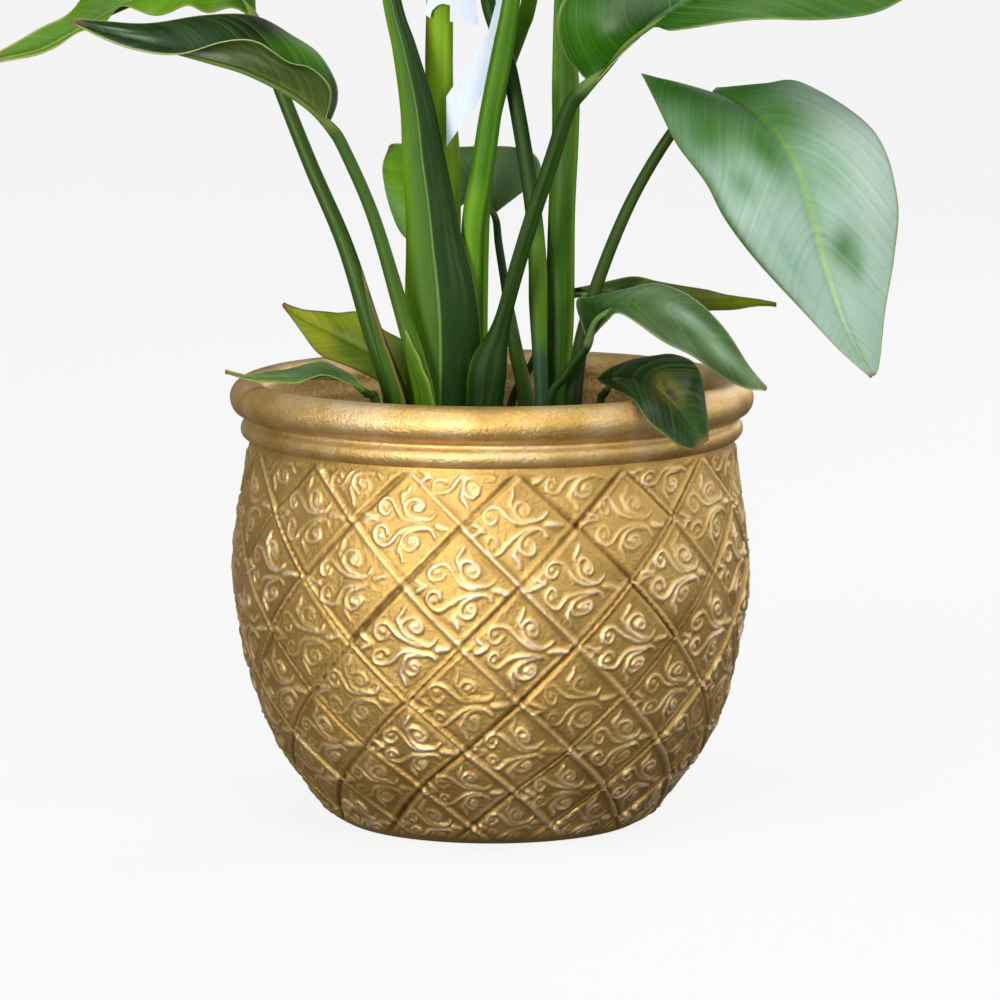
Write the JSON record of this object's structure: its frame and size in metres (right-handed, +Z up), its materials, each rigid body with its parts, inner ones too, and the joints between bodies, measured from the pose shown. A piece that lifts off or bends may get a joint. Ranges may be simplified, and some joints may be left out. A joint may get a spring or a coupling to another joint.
{
  "type": "potted strelitzia",
  "caption": "Strelitzia with channelled stalks and paddle blades, rooted in potting mix inside a round-bellied gold clay pot with a rolled rim.",
  "frame": {"origin": "centre of the pot's flat foot, on the surface it stands on", "axes": "+Z up, +Y away from the viewer, +X to the viewer's right; the large low blade hangs towards +X"},
  "size_m": [0.527, 0.3219, 0.9645],
  "materials": {
    "gold_clay": "satin gold paint over pressed clay, fine grain, worn to bare clay inside",
    "peat_mix": "dark crumbly peat and bark potting mix",
    "root_bark": "matt fleshy root skin",
    "stalk_green": "smooth waxy green leaf stalk",
    "blade_green": "satin leathery green leaf with fine parallel veins",
    "label_white": "matt white printed-label card, blank"
  },
  "bodies": {
    "root": {"clay_pot": "gold_clay", "potting_soil": "peat_mix", "rootstock": "root_bark", "stalk_back_centre": "stalk_green", "blade_back_centre": "blade_green", "stalk_back_dark": "stalk_green", "blade_back_dark": "blade_green", "stalk_back_pale": "stalk_green", "blade_back_pale": "blade_green", "stalk_back_right": "stalk_green", "blade_back_right": "blade_green", "stalk_centre_broad": "stalk_green", "blade_centre_broad": "blade_green", "stalk_centre_tall": "stalk_green", "blade_centre_tall": "blade_green", "stalk_front_crossing": "stalk_green", "blade_front_crossing": "blade_green", "stalk_left_arching": "stalk_green", "blade_left_arching": "blade_green", "stalk_left_low": "stalk_green", "blade_left_low": "blade_green", "stalk_left_mottled": "stalk_green", "blade_left_mottled": "blade_green", "stalk_left_rim": "stalk_green", "blade_left_rim": "blade_green", "stalk_right_behind": "stalk_green", "blade_right_behind": "blade_green", "stalk_right_large": "stalk_green", "blade_right_large": "blade_green", "stalk_right_low": "stalk_green", "blade_right_low": "blade_green", "stalk_right_rim": "stalk_green", "blade_right_rim": "blade_green", "stalk_right_tall": "stalk_green", "blade_right_tall": "blade_green", "label_card": "label_white", "label_tail": "label_white"}
  },
  "joints": []
}
